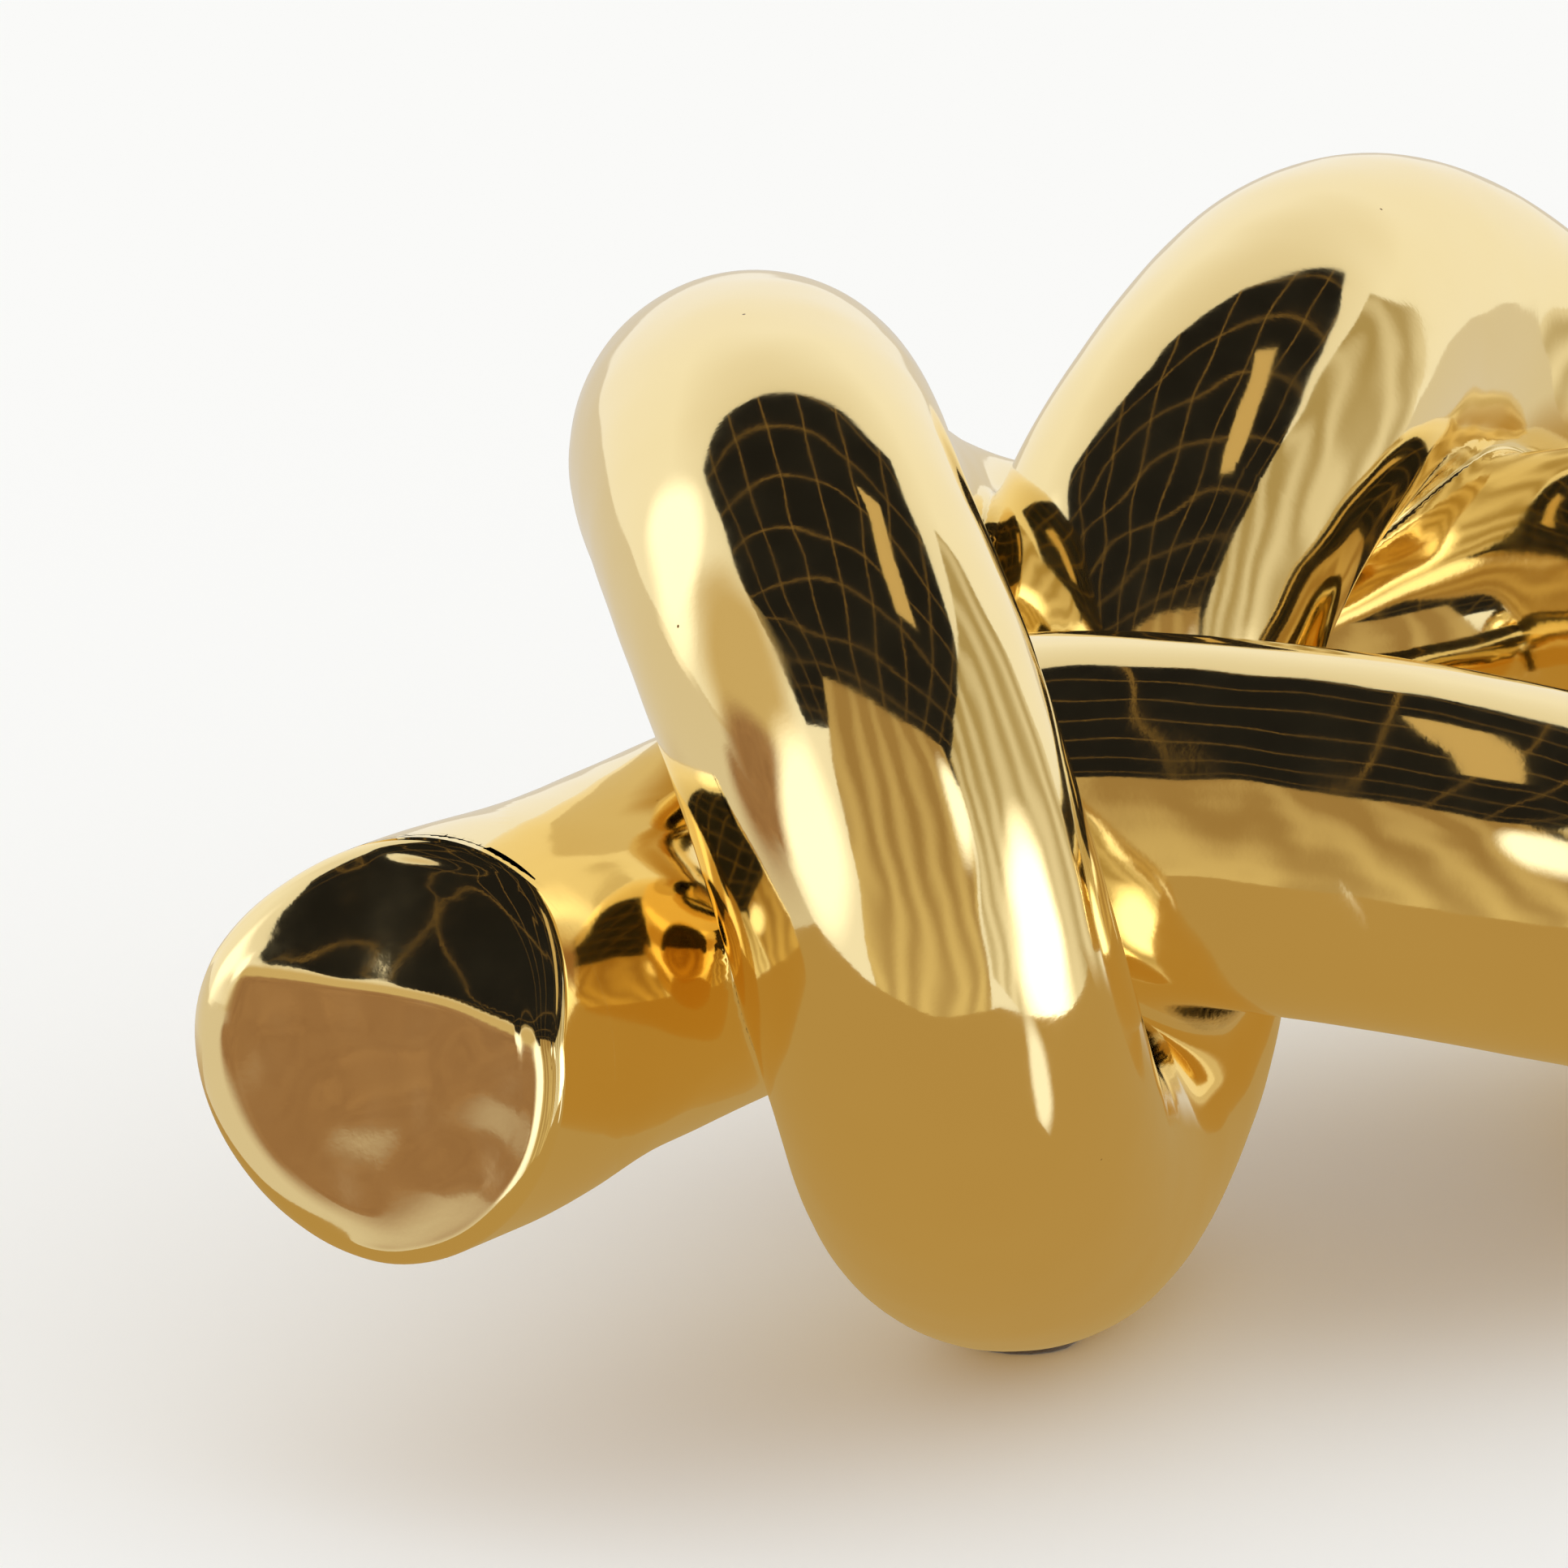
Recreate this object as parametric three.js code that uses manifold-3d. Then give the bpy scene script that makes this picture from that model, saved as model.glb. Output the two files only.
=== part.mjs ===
// Ceramic knot sculpture: one thick hollow tube tied in a figure-eight knot, standing on two ring feet.
// Millimetres, +Z up. The photograph looks along +Y, and the visible flat end is at low X and low Y.
import * as THREE from 'three';
import { mergeVertices } from 'three/addons/utils/BufferGeometryUtils.js';
import Module from 'manifold-3d';

const wasm = await Module();
wasm.setup();

// Driving dimensions
const TUBE_DIAMETER = 60;
const WALL = 6.5;
const GAP = 0.3;
const SEAM_WIDTH = 3;
const SEAM_RECESS = 0.4;
const CAP_RIM_RADIUS = 3.5;
const CAP_EDGE = 2;
const CAP_CROWN = 5;
const CAP_SLANT = 13; // degrees that an end face leans back
const END_FLARE = 1.8;
const END_SWELL = 6;
const FLARE_LENGTH = 45;
const FOOT_GRIND = 3;
const PAD_THICKNESS = 1.7;
const PAD_LENGTH = 36;
const PAD_WIDTH = 18;
const VENT_DIAMETER = 5;

// Facets
const TUBE_SIDES = 20;
const BORE_SIDES = 12;
const STEP_LENGTH = 13;
const RIM_STEPS = 4;
const CROWN_STEPS = 4;
const PAD_ARC_STEPS = 8;
const VENT_SIDES = 12;
const FRAME_STEPS = 6000;

// Route of the tube's centreline: guide points in tube diameters, from the visible end to the hidden end
const ROUTE = [
  [-1.00, -0.40, 1.30], // left tail end
  [-0.45, 0.55, 1.30], // left tail
  [0.10, 1.40, 1.35], // under the left ring
  [0.80, 1.40, 1.55], // front run
  [2.05, 1.30, 1.35], // front run, start of the bend
  [2.70, 1.95, 1.05], // down to the right foot
  [2.75, 3.05, 0.50], // right foot
  [2.65, 4.15, 0.55], // right foot, back
  [2.50, 4.75, 1.50], // right ring, back
  [1.75, 4.25, 2.35], // arch, shoulder
  [1.35, 3.10, 2.30], // arch, top
  [0.90, 2.45, 1.75], // leg, top
  [0.95, 2.30, 0.70], // leg, bottom
  [0.60, 1.15, 0.40], // left foot
  [0.45, -0.05, 1.15], // left ring, low front
  [0.25, -0.15, 2.00], // left ring, front
  [-0.05, 0.45, 2.60], // left ring, shoulder
  [-0.10, 1.60, 2.50], // left ring, crown
  [0.00, 2.85, 1.90], // left ring, back
  [0.45, 3.45, 1.45], // back run, start
  [1.65, 3.65, 1.30], // back run
  [2.45, 3.55, 1.60], // back run, end
  [3.35, 2.75, 1.50], // right tail
  [3.85, 1.65, 1.50], // right tail end
];

// Cast sections: each ends at a place on the route, counted in guide points
const SECTIONS = [
  { name: 'left_tail', end: 1.5 },
  { name: 'front_run', end: 5.2 },
  { name: 'right_ring_foot', end: 7.5 },
  { name: 'right_ring_back', end: 8.7 },
  { name: 'right_ring_arch', end: 10.6 },
  { name: 'centre_leg', end: 11.8 },
  { name: 'left_ring_foot', end: 13.7 },
  { name: 'left_ring_front', end: 16.5 },
  { name: 'left_ring_crown', end: 17.6 },
  { name: 'back_run', end: 20.2 },
  { name: 'right_tail', end: ROUTE.length - 1 },
];

// Ring sections are hollowed on the outside where they sit against a run, so that the strands lie snug
const FRONT_RUNS = ['left_tail', 'front_run'];
const BACK_RUNS = ['back_run', 'right_tail'];
const SEATED_ON = {
  right_ring_foot: BACK_RUNS,
  right_ring_back: BACK_RUNS,
  right_ring_arch: BACK_RUNS,
  centre_leg: [...FRONT_RUNS, ...BACK_RUNS],
  left_ring_foot: FRONT_RUNS,
  left_ring_front: FRONT_RUNS,
};
const FOOT_PADS = { left_ring_foot: 'felt_pad_left', right_ring_foot: 'felt_pad_right' };
const VENT_SECTION = 'back_run';
const VENT_PLACE = 0.6;

const LUSTRE = { color: 0xcfa455, roughness: 0.1, metalness: 1 };
const BARE_CLAY = { color: 0xe3d8c4, roughness: 0.85, metalness: 0 };
const FELT = { color: 0x4a3b2c, roughness: 0.95, metalness: 0 };

const tubeRadius = TUBE_DIAMETER / 2;
const boreRadius = tubeRadius - WALL;
const endRadius = tubeRadius + END_FLARE;
const capLean = endRadius * Math.tan(THREE.MathUtils.degToRad(CAP_SLANT));
const capThickness = CAP_EDGE + CAP_RIM_RADIUS + capLean;
const footPlane = PAD_THICKNESS + GAP;

// Smooth centreline: a uniform cubic B-spline over the guide points, straight at both ends
class Strand extends THREE.Curve {
  constructor(points) {
    super();
    const last = points.length - 1;
    const before = points[0].clone().multiplyScalar(2).sub(points[1]);
    const after = points[last].clone().multiplyScalar(2).sub(points[last - 1]);
    this.guides = [before, ...points, after];
    this.spans = last;
    this.arcLengthDivisions = FRAME_STEPS;
  }

  getPoint(t, target = new THREE.Vector3()) {
    const place = t * this.spans;
    const first = Math.min(Math.floor(place), this.spans - 1);
    const f = place - first;
    const weights = [(1 - f) ** 3, 3 * f ** 3 - 6 * f ** 2 + 4, -3 * f ** 3 + 3 * f ** 2 + 3 * f + 1, f ** 3];
    target.set(0, 0, 0);
    weights.forEach((weight, k) => target.addScaledVector(this.guides[first + k], weight / 6));
    return target;
  }

  lengthAtGuide(place) {
    return this.getLengths()[Math.round(place / this.spans * FRAME_STEPS)];
  }
}

// A stretch of the strand: its cross-sections are taken from one set of frames, so that neighbours line up
class Stretch extends THREE.Curve {
  constructor(stations) {
    super();
    this.frameIndex = stations.map((length) => Math.round(length / strandLength * FRAME_STEPS));
    this.stations = stations;
  }

  getSpacedPoints() {
    return this.stations.map((length) => strand.getPointAt(length / strandLength));
  }

  computeFrenetFrames() {
    const pick = (vectors) => this.frameIndex.map((index) => vectors[index]);
    return {
      tangents: pick(strandFrames.tangents),
      normals: pick(strandFrames.normals),
      binormals: pick(strandFrames.binormals),
    };
  }
}

function routeStrand() {
  const points = ROUTE.map((guide) => new THREE.Vector3(...guide).multiplyScalar(TUBE_DIAMETER));
  const loose = new Strand(points);
  const lowest = Math.min(...loose.getPoints(FRAME_STEPS).map((point) => point.z));
  const lift = footPlane - FOOT_GRIND + tubeRadius - lowest;
  return new Strand(points.map((point) => point.setZ(point.z + lift)));
}

const strand = routeStrand();
const strandLength = strand.getLength();
const strandFrames = strand.computeFrenetFrames(FRAME_STEPS);

function circlePoints(radius, sides) {
  const points = [];
  for (let i = 0; i < sides; i += 1) {
    const angle = i / sides * 2 * Math.PI;
    points.push(new THREE.Vector2(radius * Math.cos(angle), radius * Math.sin(angle)));
  }
  return points;
}

function stationsBetween(start, end) {
  const steps = Math.max(1, Math.round((end - start) / STEP_LENGTH));
  return Array.from({ length: steps + 1 }, (_, i) => start + (end - start) * i / steps);
}

function sweep(stations, outerRadius, innerRadius) {
  const shape = new THREE.Shape(circlePoints(outerRadius, TUBE_SIDES));
  if (innerRadius > 0) shape.holes.push(new THREE.Path(circlePoints(innerRadius, BORE_SIDES)));
  return new THREE.ExtrudeGeometry(shape, { steps: stations.length - 1, extrudePath: new Stretch(stations) });
}

function solidFrom(geometry) {
  const bare = geometry.clone();
  bare.deleteAttribute('normal');
  bare.deleteAttribute('uv');
  const welded = mergeVertices(bare);
  return new wasm.Manifold(new wasm.Mesh({
    numProp: 3,
    vertProperties: new Float32Array(welded.attributes.position.array),
    triVerts: new Uint32Array(welded.index.array),
  }));
}

function geometryFrom(solid) {
  const mesh = solid.getMesh();
  const geometry = new THREE.BufferGeometry();
  geometry.setAttribute('position', new THREE.BufferAttribute(new Float32Array(mesh.vertProperties), 3));
  geometry.setIndex(new THREE.BufferAttribute(new Uint32Array(mesh.triVerts), 1));
  return geometry;
}

// Where each section starts and ends along the strand, short of the seams and the end caps
function sectionSpans() {
  const capRoom = capThickness + GAP;
  return SECTIONS.map((section, i) => {
    const first = i === 0;
    const last = i === SECTIONS.length - 1;
    const start = first ? capRoom : strand.lengthAtGuide(SECTIONS[i - 1].end) + SEAM_WIDTH / 2;
    const end = last ? strandLength - capRoom : strand.lengthAtGuide(section.end) - SEAM_WIDTH / 2;
    return { name: section.name, start, end };
  });
}

// The space that a run takes up, with its gap: it reaches past the seams at both ends of the run
function seatCutter(span) {
  const stations = stationsBetween(span.start, span.end);
  const reach = SEAM_WIDTH;
  return solidFrom(sweep([span.start - reach, ...stations, span.end + reach], tubeRadius + GAP, 0));
}

function seated(geometry, runs, cutters) {
  if (!runs) return geometry;
  const solid = runs.reduce((body, run) => body.subtract(cutters.get(run)), solidFrom(geometry));
  return geometryFrom(solid);
}

function groundFoot(geometry) {
  const reach = 4 * TUBE_DIAMETER;
  geometry.computeBoundingBox();
  const centre = geometry.boundingBox.getCenter(new THREE.Vector3());
  const table = new THREE.BoxGeometry(reach, reach, reach);
  table.translate(centre.x, centre.y, footPlane - reach / 2);
  return geometryFrom(solidFrom(geometry).subtract(solidFrom(table)));
}

function ventedSection(geometry, span) {
  const place = strand.getPointAt((span.start + (span.end - span.start) * VENT_PLACE) / strandLength);
  const drill = new THREE.CylinderGeometry(VENT_DIAMETER / 2, VENT_DIAMETER / 2, 2 * WALL, VENT_SIDES);
  drill.rotateX(Math.PI / 2);
  drill.translate(place.x, place.y, place.z - tubeRadius + WALL / 2);
  return geometryFrom(solidFrom(geometry).subtract(solidFrom(drill)));
}

// The two ends of the strand: where each one's face is, which way it looks, and how far its left side swells
const STRAND_ENDS = {
  left_tail: { cap: 'left_end_cap', frameIndex: 0, facing: -1, swell: END_SWELL },
  right_tail: { cap: 'right_end_cap', frameIndex: FRAME_STEPS, facing: 1, swell: 0 },
};

function outwardAt({ frameIndex, facing }) {
  return strandFrames.tangents[frameIndex].clone().multiplyScalar(facing);
}

// The left side of an end, as someone who looks at its face sees it
function leftOf(strandEnd) {
  return outwardAt(strandEnd).cross(new THREE.Vector3(0, 0, 1)).normalize();
}

// How far an end swells to its left, at a place that is so far from the axis on that side
function swellAt(strandEnd, leftward) {
  return strandEnd.swell * Math.max(0, leftward / endRadius) ** 2;
}

function behindTip(strandEnd, distance) {
  const tip = strand.getPointAt(strandEnd.frameIndex / FRAME_STEPS);
  return tip.addScaledVector(outwardAt(strandEnd), -distance);
}

// The tube swells a little towards its ends
function flaredEnd(geometry, strandEnd) {
  const outward = outwardAt(strandEnd);
  const left = leftOf(strandEnd);
  const joint = behindTip(strandEnd, capThickness + GAP);
  const position = geometry.attributes.position;
  const vertex = new THREE.Vector3();
  for (let i = 0; i < position.count; i += 1) {
    vertex.fromBufferAttribute(position, i).sub(joint);
    const back = -vertex.dot(outward);
    const radial = vertex.clone().addScaledVector(outward, back);
    const share = Math.max(0, 1 - Math.abs(back) / FLARE_LENGTH) ** 2;
    vertex.addScaledVector(radial, share * END_FLARE / tubeRadius);
    vertex.addScaledVector(left, share * swellAt(strandEnd, vertex.dot(left))).add(joint);
    position.setXYZ(i, vertex.x, vertex.y, vertex.z);
  }
  return geometry;
}

// End disc: flat inside, rounded rim, and a softly crowned outside face that leans back at the top
function endCap(strandEnd) {
  const profile = [new THREE.Vector2(0, 0), new THREE.Vector2(endRadius, 0)];
  const faceRadius = endRadius - CAP_RIM_RADIUS;
  for (let i = 0; i <= RIM_STEPS; i += 1) {
    const angle = i / RIM_STEPS * Math.PI / 2;
    const rise = CAP_EDGE + CAP_RIM_RADIUS * Math.sin(angle);
    profile.push(new THREE.Vector2(faceRadius + CAP_RIM_RADIUS * Math.cos(angle), rise));
  }
  for (let i = 1; i <= CROWN_STEPS; i += 1) {
    const inward = i / CROWN_STEPS;
    const crown = CAP_CROWN * (1 - (1 - inward) ** 2);
    profile.push(new THREE.Vector2(faceRadius * (1 - inward), CAP_EDGE + CAP_RIM_RADIUS + crown));
  }
  const geometry = new THREE.LatheGeometry(profile, TUBE_SIDES);
  const outward = outwardAt(strandEnd);
  const zero = strandFrames.normals[strandEnd.frameIndex].clone();
  const side = new THREE.Vector3().crossVectors(outward, zero);
  const up = new THREE.Vector2(side.z, zero.z).normalize();
  const left = new THREE.Vector2(leftOf(strandEnd).dot(side), leftOf(strandEnd).dot(zero));
  const position = geometry.attributes.position;
  const radial = new THREE.Vector2();
  for (let i = 0; i < position.count; i += 1) {
    radial.set(position.getX(i), position.getZ(i));
    const rise = position.getY(i);
    const lean = rise > 0 ? capLean * (1 - radial.dot(up) / endRadius) : 0;
    radial.addScaledVector(left, swellAt(strandEnd, radial.dot(left)));
    position.setXYZ(i, radial.x, rise + lean, radial.y);
  }
  const basis = new THREE.Matrix4().makeBasis(side, outward, zero);
  basis.setPosition(behindTip(strandEnd, capThickness));
  return geometryFrom(solidFrom(geometry.applyMatrix4(basis)));
}

// Slip that fills a butt joint: a bend pinches its inner side, so its gap is twice the usual one
function seamRing(place) {
  const middle = strand.lengthAtGuide(place);
  const half = SEAM_WIDTH / 2 - 2 * GAP;
  return sweep([middle - half, middle + half], tubeRadius - SEAM_RECESS, boreRadius);
}

// Felt pad with round ends, laid along the foot's flat
function footPad(span) {
  const places = strandPlaces(span);
  const lowest = places.reduce((low, place) => (place.point.z < low.point.z ? place : low));
  const radius = PAD_WIDTH / 2;
  const reach = PAD_LENGTH / 2 - radius;
  const outline = [];
  for (const end of [1, -1]) {
    for (let i = 0; i <= PAD_ARC_STEPS; i += 1) {
      const angle = (i / PAD_ARC_STEPS - 0.5) * Math.PI;
      const across = radius * Math.sin(angle);
      outline.push(new THREE.Vector2(end * (reach + radius * Math.cos(angle)), end * across));
    }
  }
  const shape = new THREE.Shape(outline);
  const pad = new THREE.ExtrudeGeometry(shape, { depth: PAD_THICKNESS, bevelEnabled: false });
  pad.rotateZ(Math.atan2(lowest.tangent.y, lowest.tangent.x));
  pad.translate(lowest.point.x, lowest.point.y, 0);
  return pad;
}

function strandPlaces(span) {
  return stationsBetween(span.start, span.end).map((length) => ({
    point: strand.getPointAt(length / strandLength),
    tangent: strand.getTangentAt(length / strandLength),
  }));
}

function addPiece(group, name, geometry, finish) {
  geometry.deleteAttribute('uv');
  geometry.deleteAttribute('normal');
  const welded = mergeVertices(geometry);
  welded.computeVertexNormals();
  const mesh = new THREE.Mesh(welded, new THREE.MeshStandardMaterial(finish));
  mesh.name = name;
  group.add(mesh);
}

function buildKnot() {
  const group = new THREE.Group();
  const spans = sectionSpans();
  const runs = spans.filter((span) => [...FRONT_RUNS, ...BACK_RUNS].includes(span.name));
  const cutters = new Map(runs.map((span) => [span.name, seatCutter(span)]));
  for (const span of spans) {
    const tube = sweep(stationsBetween(span.start, span.end), tubeRadius, boreRadius);
    let geometry = seated(tube, SEATED_ON[span.name], cutters);
    if (STRAND_ENDS[span.name]) geometry = flaredEnd(geometry, STRAND_ENDS[span.name]);
    if (FOOT_PADS[span.name]) geometry = groundFoot(geometry);
    if (span.name === VENT_SECTION) geometry = ventedSection(geometry, span);
    addPiece(group, span.name, geometry, LUSTRE);
  }
  SECTIONS.slice(0, -1).forEach((section, i) => {
    const neighbour = SECTIONS[i + 1].name;
    const seats = new Set([...(SEATED_ON[section.name] || []), ...(SEATED_ON[neighbour] || [])]);
    const onStrand = [section.name, neighbour];
    const others = [...seats].filter((run) => !onStrand.includes(run));
    addPiece(group, `slip_seam_${section.name}`, seated(seamRing(section.end), others, cutters), BARE_CLAY);
  });
  for (const strandEnd of Object.values(STRAND_ENDS)) {
    addPiece(group, strandEnd.cap, endCap(strandEnd), LUSTRE);
  }
  for (const span of spans) {
    if (FOOT_PADS[span.name]) addPiece(group, FOOT_PADS[span.name], footPad(span), FELT);
  }
  centreOverOrigin(group);
  return group;
}

// The origin is on the table, under the middle of the sculpture
function centreOverOrigin(group) {
  const middle = new THREE.Box3().setFromObject(group).getCenter(new THREE.Vector3());
  group.children.forEach((mesh) => mesh.geometry.translate(-middle.x, -middle.y, 0));
}

export default buildKnot();
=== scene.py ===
"""Looks of a ceramic knot sculpture: a thick tube tied in a knot under a mirror-gold lustre.

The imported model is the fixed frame. Each cast section gets a fine glazed skin that flows into its
neighbours where strands are bonded, and the end caps, slip seams and felt pads get their own finish.
All lengths are in metres, +Z up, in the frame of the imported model.
"""
import math

import bmesh
import bpy
import numpy as np
from bpy.props import FloatProperty, FloatVectorProperty, IntProperty, PointerProperty
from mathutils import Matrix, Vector, noise


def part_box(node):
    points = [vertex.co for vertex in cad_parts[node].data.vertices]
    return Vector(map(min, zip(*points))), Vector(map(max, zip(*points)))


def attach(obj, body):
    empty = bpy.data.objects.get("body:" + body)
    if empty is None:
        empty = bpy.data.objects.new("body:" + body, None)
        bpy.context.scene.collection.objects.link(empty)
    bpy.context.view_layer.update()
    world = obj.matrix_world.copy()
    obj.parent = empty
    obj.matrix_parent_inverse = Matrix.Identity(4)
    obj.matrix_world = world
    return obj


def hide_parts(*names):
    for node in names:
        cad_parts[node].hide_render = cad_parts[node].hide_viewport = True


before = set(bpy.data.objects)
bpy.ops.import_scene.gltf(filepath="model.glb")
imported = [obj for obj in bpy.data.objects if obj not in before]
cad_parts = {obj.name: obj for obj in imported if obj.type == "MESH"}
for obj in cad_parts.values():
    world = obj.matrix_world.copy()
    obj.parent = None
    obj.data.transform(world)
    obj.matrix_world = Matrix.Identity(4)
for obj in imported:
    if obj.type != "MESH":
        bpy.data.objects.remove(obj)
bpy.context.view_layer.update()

bl_info = {
    "name": "Knot Sculpture Looks",
    "version": (1, 0, 0),
    "blender": (4, 5, 0),
    "location": "View3D > Sidebar > Knot",
    "description": "Glazes the ceramic knot in gold lustre and sets up its studio",
    "category": "Object",
}

MM = 0.001
BODY = "root"

# Route of the strand's axis, in tube diameters: the guide points of one smooth curve.
ROUTE = (
    (-1.00, -0.40, 1.30),  # left tail end
    (-0.45, 0.55, 1.30),  # left tail
    (0.10, 1.40, 1.35),  # under the left ring
    (0.80, 1.40, 1.55),  # front run
    (2.05, 1.30, 1.35),  # front run bend
    (2.70, 1.95, 1.05),  # down to the right foot
    (2.75, 3.05, 0.50),  # right foot
    (2.65, 4.15, 0.55),  # right foot back
    (2.50, 4.75, 1.50),  # right ring back
    (1.75, 4.25, 2.35),  # arch shoulder
    (1.35, 3.10, 2.30),  # arch top
    (0.90, 2.45, 1.75),  # leg top
    (0.95, 2.30, 0.70),  # leg bottom
    (0.60, 1.15, 0.40),  # left foot
    (0.45, -0.05, 1.15),  # left ring low front
    (0.25, -0.15, 2.00),  # left ring front
    (-0.05, 0.45, 2.60),  # left ring shoulder
    (-0.10, 1.60, 2.50),  # crown
    (0.00, 2.85, 1.90),  # left ring back
    (0.45, 3.45, 1.45),  # back run start
    (1.65, 3.65, 1.30),  # back run
    (2.45, 3.55, 1.60),  # back run end
    (3.35, 2.75, 1.50),  # right tail
    (3.85, 1.65, 1.50),  # right tail end
)
LAST_PLACE = len(ROUTE) - 1

# Cast sections in order along the strand, each with the place where it ends, counted in guide points.
SECTION_ENDS = {
    "left_tail": 1.5,
    "front_run": 5.2,
    "right_ring_foot": 7.5,
    "right_ring_back": 8.7,
    "right_ring_arch": 10.6,
    "centre_leg": 11.8,
    "left_ring_foot": 13.7,
    "left_ring_front": 16.5,
    "left_ring_crown": 17.6,
    "back_run": 20.2,
    "right_tail": LAST_PLACE,
}
# Sections that are cut to sit on another strand. The others stay whole where strands meet.
COPED_SECTIONS = (
    "right_ring_foot",
    "right_ring_back",
    "right_ring_arch",
    "centre_leg",
    "left_ring_foot",
    "left_ring_front",
)
FELT_PADS = ("felt_pad_left", "felt_pad_right")
END_CAPS = ("left_end_cap", "right_end_cap")
VENTED_SECTION = "back_run"
# A seam that is whole all round, so the middle of its box lies on the strand's axis.
REFERENCE_SEAM = "slip_seam_left_tail"
REFERENCE_PLACE = SECTION_ENDS["left_tail"]

# Sampling of the strand and of its skin
SPLINE_STEPS = 12000
AXIS_SPACING = 0.5 * MM
COARSE_STRIDE = 4
PROJECTION_ROUNDS = 24
AXIS_ROUNDS = 4
TINY = 1e-9
# Stretches of the strand that are further along than this, in tube diameters, can be bonded to each other.
BOND_APART = 1.6
# Middle of the wide web between the front run and the centre leg, in tube diameters
WEB_MIDDLE = (1.15, 1.72, 1.05)

# Studio, in metres
FAR = 8
CEILING_HEIGHT = 2.2
TABLE_CORNER = (-0.26, -0.3)
SEEN_CARD = "floor"
# Level cards: height, then the near left, near right, far left and far right corner of the plan.
# Those on the floor lie a millimetre over each other.
LEVEL_CARDS = {
    SEEN_CARD: (0, (-FAR, -FAR), (FAR, -FAR), (-FAR, FAR), (FAR, FAR)),
    "floor_left": (0, (-FAR, -3), TABLE_CORNER, (-FAR, FAR), (-0.26, FAR)),
    "floor_behind": (0, TABLE_CORNER, (FAR, 6.5), (-0.26, FAR), (FAR, FAR)),
    "ceiling_card": (CEILING_HEIGHT, (-3.0, -4.2), (4.4, -3.8), (-2.1, 0.8), (1.45, 1.45)),
    "slot_card": (CEILING_HEIGHT - 10 * MM, (1.1, -1.0), (1.5, -0.95), (0.65, 0.3), (1.0, 0.35)),
    "table_round": (1 * MM, (-0.45, 0.0), (0.5, 0.0), (-0.45, 0.45), (0.6, 0.45)),
    "table_front": (2 * MM, TABLE_CORNER, (0.06, -0.255), (-0.26, 0.0), (0.36, 0.0)),
    "table_left": (3 * MM, (-0.1, -0.4), (-0.34, -0.05), (-1.2, -1.25), (-1.7, -0.3)),
}
# Upright cards: start and end in the plan, bottom and top.
UPRIGHT_CARDS = {
    "drape_card": ((-1.1, -2.6), (2.4, -2.6), -2.0, 2.1),
    "sheer_card": ((2.9, -2.9), (2.3, 1.6), -1.5, 2.2),
    "wall_card": ((-1.9, -2.6), (-2.9, 0.3), -0.8, 2.6),
    "table_left_edge": ((-0.9, -1.2), (-1.45, -0.2), -0.25, 0.4),
    "glow_left": ((-2.7, -0.15), (-2.1, 1.15), -0.3, 2.3),
    "glow_front_left": ((-0.42, -0.33), (-0.2, -0.48), -0.1, 0.28),
    "glow_far_right": ((1.45, -2.45), (2.35, -2.3), 0.1, 1.8),
    "glow_right": ((0.36, -0.42), (0.56, -0.04), -0.25, 0.25),
}
# A narrow card that leans towards the viewer, given by its four corners. It glows as a painted sheen: the
# right glow's reflection in a glossy table top
SHEEN_CARD = ((0.01, -0.167, -0.01), (0.01, -0.142, -0.01), (0.01, -0.197, 0.06), (0.01, -0.172, 0.06))


def hex_colour(text):
    """The linear colour of an sRGB hex value such as C08030."""
    channels = [int(text[i : i + 2], 16) / 255 for i in (0, 2, 4)]
    return tuple(c / 12.92 if c <= 0.04045 else ((c + 0.055) / 1.055) ** 2.4 for c in channels)


def number(name, description, default, **settings):
    """A number property, with the unit that is given or none."""
    return FloatProperty(name=name, description=description, default=default, **settings)


def length(name, description, millimetres):
    """A length property whose default is given in millimetres."""
    return number(name, description, millimetres * MM, unit="LENGTH", precision=5)


def angle(name, description, degrees):
    """An angle property whose default is given in degrees."""
    return number(name, description, math.radians(degrees), subtype="ANGLE")


def colour(name, description, text):
    """A colour property whose default is given as an sRGB hex value."""
    return FloatVectorProperty(
        name=name, description=description, default=hex_colour(text), subtype="COLOR", min=0.0, max=1.0
    )


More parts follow.
